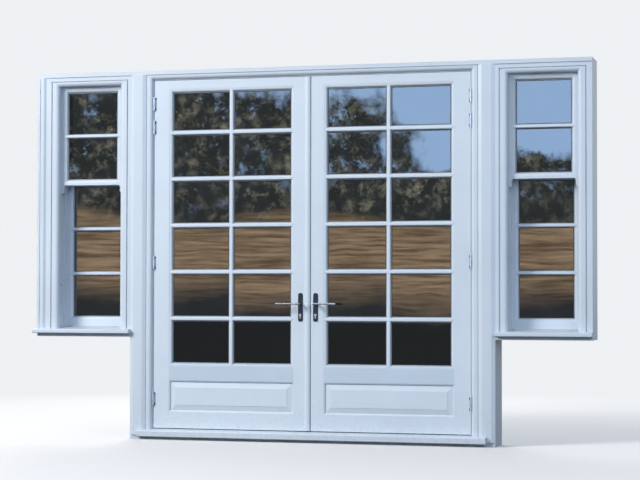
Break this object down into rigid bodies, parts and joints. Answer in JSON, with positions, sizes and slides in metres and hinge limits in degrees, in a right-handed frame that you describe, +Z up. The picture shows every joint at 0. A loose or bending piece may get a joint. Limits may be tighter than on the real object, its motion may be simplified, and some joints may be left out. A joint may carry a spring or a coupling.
{
  "type": "french doors with side windows",
  "caption": "Painted timber glazed double door opening outwards, raised bottom panels, between vertically sliding side windows, in one moulded frame with sills.",
  "frame": {"origin": "middle of the underside of the door sill, on the floor, halfway through the frame", "axes": "+Z up, +X to the right as seen from outside, +Y from outside to inside"},
  "size_m": [3.979, 0.3065, 2.587],
  "materials": {
    "frame_paint": "satin white paint",
    "leaf_paint": "satin white paint",
    "glass": "clear, slightly tinted",
    "polished_metal": "polished",
    "dark_metal": "satin dark",
    "steel": "brushed",
    "hinge_metal": "weathered",
    "seal": "matte"
  },
  "bodies": {
    "frame": {"head": "frame_paint", "door_sill": "frame_paint", "bolt_keeps": "steel", "door_seals": "seal", "parting_beads": "frame_paint", "left_door_jamb": "frame_paint", "right_door_jamb": "frame_paint", "left_mullion_post": "frame_paint", "right_mullion_post": "frame_paint", "left_window_sill": "frame_paint", "right_window_sill": "frame_paint", "left_window_inner_jamb": "frame_paint", "right_window_inner_jamb": "frame_paint", "left_window_outer_jamb": "frame_paint", "right_window_outer_jamb": "frame_paint", "left_hinge_frame_plates": "hinge_metal", "right_hinge_frame_plates": "hinge_metal"},
    "left_leaf": {"left_hinge_stile": "leaf_paint", "left_meeting_stile": "leaf_paint", "left_top_rail": "leaf_paint", "left_lock_rail": "leaf_paint", "left_bottom_rail": "leaf_paint", "left_glass": "glass", "left_glazing_bars": "leaf_paint", "left_glazing_beads": "leaf_paint", "left_panel": "leaf_paint", "left_handle_plates": "dark_metal", "left_lock_cylinder": "polished_metal", "left_lock_strip": "steel", "left_hinge_leaf_plates": "hinge_metal", "meeting_bead": "leaf_paint"},
    "left_lever": {"left_lever": "polished_metal"},
    "left_top_bolt": {"left_top_bolt": "steel"},
    "left_bottom_bolt": {"left_bottom_bolt": "steel"},
    "left_upper_sash": {"left_upper_sash": "frame_paint", "left_upper_sash_glass": "glass"},
    "left_lower_sash": {"left_lower_sash": "frame_paint", "left_lower_sash_glass": "glass", "left_sash_fasteners": "dark_metal"},
    "right_leaf": {"right_hinge_stile": "leaf_paint", "right_meeting_stile": "leaf_paint", "right_top_rail": "leaf_paint", "right_lock_rail": "leaf_paint", "right_bottom_rail": "leaf_paint", "right_glass": "glass", "right_glazing_bars": "leaf_paint", "right_glazing_beads": "leaf_paint", "right_panel": "leaf_paint", "right_handle_plates": "dark_metal", "right_lock_cylinder": "polished_metal", "right_lock_strip": "steel", "right_hinge_leaf_plates": "hinge_metal"},
    "right_lever": {"right_lever": "polished_metal"},
    "right_top_bolt": {"right_top_bolt": "steel"},
    "right_bottom_bolt": {"right_bottom_bolt": "steel"},
    "right_upper_sash": {"right_upper_sash": "frame_paint", "right_upper_sash_glass": "glass"},
    "right_lower_sash": {"right_lower_sash": "frame_paint", "right_lower_sash_glass": "glass", "right_sash_fasteners": "dark_metal"}
  },
  "joints": [
    {"name": "left_leaf_swing", "type": "hinge", "parent": "frame", "child": "left_leaf", "pos_m": [-1.1325, -0.1055, 1.298], "axis": [0, 0, -1], "range_deg": [0, 100]},
    {"name": "left_lever_lift", "type": "hinge", "parent": "left_leaf", "child": "left_lever", "pos_m": [-0.058, -0.07, 0.951], "axis": [0, 1, 0], "range_deg": [0, 45], "stiffness_Nm_per_rad": 3, "springref_deg": -22.92},
    {"name": "left_top_bolt_throw", "type": "slide", "parent": "left_leaf", "child": "left_top_bolt", "axis": [0, 0, 1], "range_m": [0, 0.018]},
    {"name": "left_bottom_bolt_throw", "type": "slide", "parent": "left_leaf", "child": "left_bottom_bolt", "axis": [0, 0, -1], "range_m": [0, 0.018]},
    {"name": "left_upper_sash_slide", "type": "slide", "parent": "frame", "child": "left_upper_sash", "axis": [0, 0, -1], "range_m": [0, 0.6]},
    {"name": "left_lower_sash_slide", "type": "slide", "parent": "frame", "child": "left_lower_sash", "axis": [0, 0, 1], "range_m": [0, 0.6]},
    {"name": "right_leaf_swing", "type": "hinge", "parent": "frame", "child": "right_leaf", "pos_m": [1.1325, -0.1055, 1.298], "axis": [0, 0, 1], "range_deg": [0, 100]},
    {"name": "right_lever_lift", "type": "hinge", "parent": "right_leaf", "child": "right_lever", "pos_m": [0.05, -0.07, 0.951], "axis": [0, -1, 0], "range_deg": [0, 45], "stiffness_Nm_per_rad": 3, "springref_deg": -22.92},
    {"name": "right_top_bolt_throw", "type": "slide", "parent": "right_leaf", "child": "right_top_bolt", "axis": [0, 0, 1], "range_m": [0, 0.018]},
    {"name": "right_bottom_bolt_throw", "type": "slide", "parent": "right_leaf", "child": "right_bottom_bolt", "axis": [0, 0, -1], "range_m": [0, 0.018]},
    {"name": "right_upper_sash_slide", "type": "slide", "parent": "frame", "child": "right_upper_sash", "axis": [0, 0, -1], "range_m": [0, 0.6]},
    {"name": "right_lower_sash_slide", "type": "slide", "parent": "frame", "child": "right_lower_sash", "axis": [0, 0, 1], "range_m": [0, 0.6]}
  ],
  "couplings": [
    {"joint": "left_top_bolt_throw", "follows": "left_lever_lift", "m_per_rad": 0.0229},
    {"joint": "left_bottom_bolt_throw", "follows": "left_lever_lift", "m_per_rad": 0.0229},
    {"joint": "right_top_bolt_throw", "follows": "right_lever_lift", "m_per_rad": 0.0229},
    {"joint": "right_bottom_bolt_throw", "follows": "right_lever_lift", "m_per_rad": 0.0229}
  ]
}
